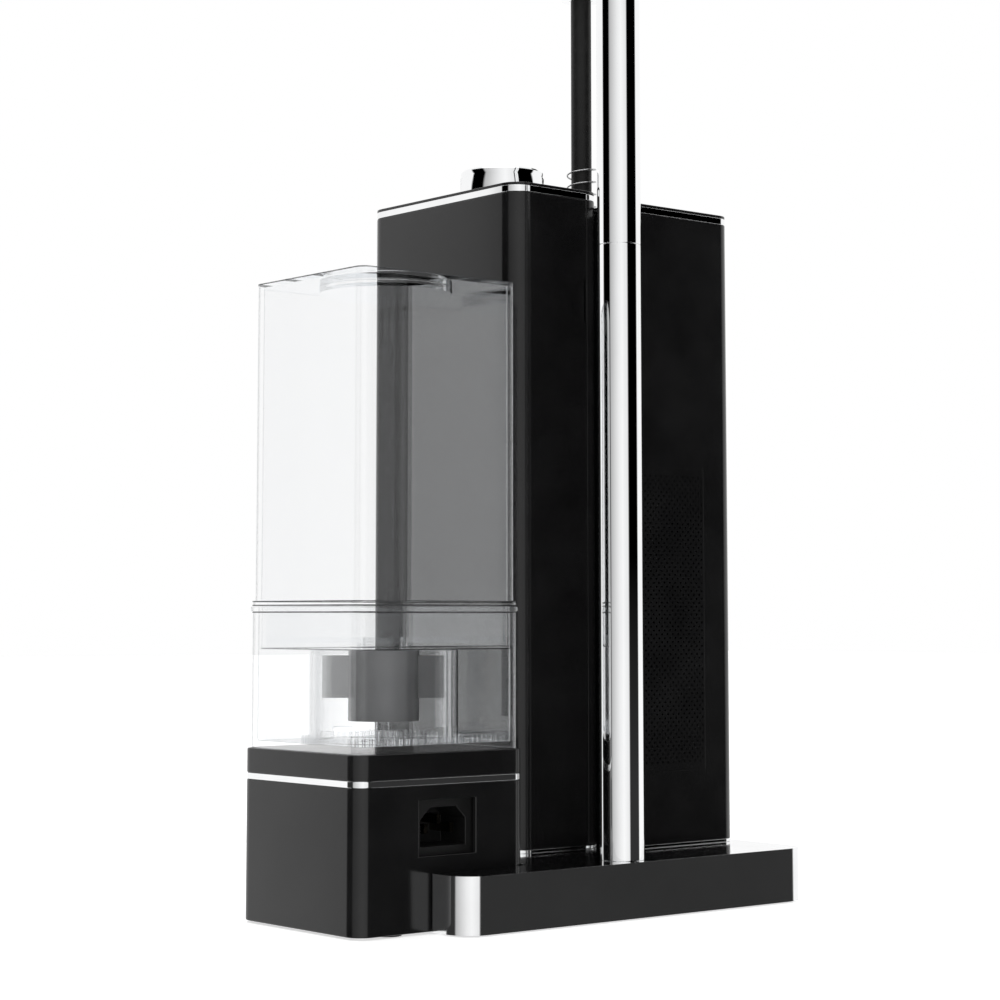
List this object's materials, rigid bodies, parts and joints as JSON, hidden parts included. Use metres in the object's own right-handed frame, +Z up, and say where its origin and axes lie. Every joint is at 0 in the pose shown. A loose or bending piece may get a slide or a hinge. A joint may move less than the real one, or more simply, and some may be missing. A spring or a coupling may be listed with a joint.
{
  "type": "table-top water appliance",
  "caption": "Table-top water appliance with a lift-off clear tank, a control tower with a knob, a vented heater module with an upright hose, and a tall chrome pole on a long foot.",
  "frame": {"origin": "on the table, at the middle of the whole object's footprint", "axes": "+Z up, +X from the tank to the heater module, -Y to the front, where the mains inlet is"},
  "size_m": [0.2476, 0.1764, 0.473],
  "materials": {
    "black_gloss": "glossy moulded",
    "black_satin": "satin moulded",
    "chrome": "mirror plated",
    "clear_plastic": "clear moulded",
    "foot_metal": "glossy dark lacquer",
    "grey_plastic": "satin moulded",
    "rubber": "satin",
    "tube": "translucent silicone",
    "steel": "plain",
    "brass": "tinned",
    "board": "laminate"
  },
  "bodies": {
    "appliance": {"base_cover": "black_satin", "base_deck": "black_gloss", "base_shell": "black_gloss", "chrome_band": "chrome", "control_board": "board", "cover_screws": "steel", "encoder": "black_satin", "fan_frame": "black_satin", "feed_tube": "tube", "filter_cartridge": "grey_plastic", "filter_housing": "grey_plastic", "foot_cover": "black_satin", "foot_plate": "foot_metal", "heater": "steel", "heater_saddle": "steel", "hose": "rubber", "hose_fitting": "chrome", "hose_gland": "black_satin", "inlet_blades": "brass", "inlet_socket": "black_satin", "knob_bezel": "black_satin", "module_cap": "black_gloss", "module_rim": "chrome", "module_shell": "black_gloss", "module_trim": "chrome", "pole_bolt": "steel", "pole_head": "chrome", "pole_lower": "chrome", "pole_plug": "steel", "pole_stud": "steel", "pole_upper": "chrome", "pressure_tube": "tube", "pump_body": "black_satin", "pump_motor": "steel", "push_pin": "clear_plastic", "relief_spring": "chrome", "rubber_pads": "rubber", "supply_board": "board", "supply_parts": "board", "top_panel": "black_gloss", "tower_back_plate": "black_satin", "tower_rim": "chrome", "tower_screws": "steel", "tower_shell": "black_gloss", "tower_trim": "chrome", "valve_cup": "clear_plastic", "vent_grille": "black_gloss", "water_well": "clear_plastic"},
    "tank": {"tank_body": "clear_plastic", "tank_top": "clear_plastic"},
    "cap": {"tank_cap": "grey_plastic", "cap_seal": "rubber", "valve_spring": "steel"},
    "valve": {"valve_plunger": "grey_plastic"},
    "knob_unit": {"knob": "chrome", "knob_shaft": "steel"},
    "cover": {"side_cover": "black_gloss", "cover_rim": "chrome"},
    "impeller": {"pump_impeller": "black_satin"},
    "fan": {"fan_rotor": "black_satin"}
  },
  "joints": [
    {"name": "tank_lift", "type": "slide", "parent": "appliance", "child": "tank", "axis": [0, 0, 1], "range_m": [0, 0.09]},
    {"name": "cap_turn", "type": "hinge", "parent": "tank", "child": "cap", "pos_m": [-0.07755, -0.0208, 0.1], "axis": [0, 0, 1], "range_deg": [0, 90]},
    {"name": "valve_slide", "type": "slide", "parent": "cap", "child": "valve", "axis": [0, 0, 1], "range_m": [-0.004, 0], "deforming": ["valve_spring"]},
    {"name": "knob_turn", "type": "hinge", "parent": "appliance", "child": "knob_unit", "pos_m": [0.02035, 0.0146, 0.345], "axis": [0, 0, 1], "range_deg": [-135, 135]},
    {"name": "cover_pull", "type": "slide", "parent": "appliance", "child": "cover", "axis": [0, -1, 0], "range_m": [0, 0.03]},
    {"name": "impeller_spin", "type": "hinge", "parent": "appliance", "child": "impeller", "pos_m": [0.02035, -0.0048, 0.045], "axis": [0, 0, 1], "continuous": true},
    {"name": "fan_spin", "type": "hinge", "parent": "appliance", "child": "fan", "pos_m": [0.0833, -0.0281, 0.132], "axis": [0, 1, 0], "continuous": true}
  ],
  "couplings": [
    {"joint": "valve_slide", "follows": "tank_lift", "ratio": -0.04444}
  ]
}
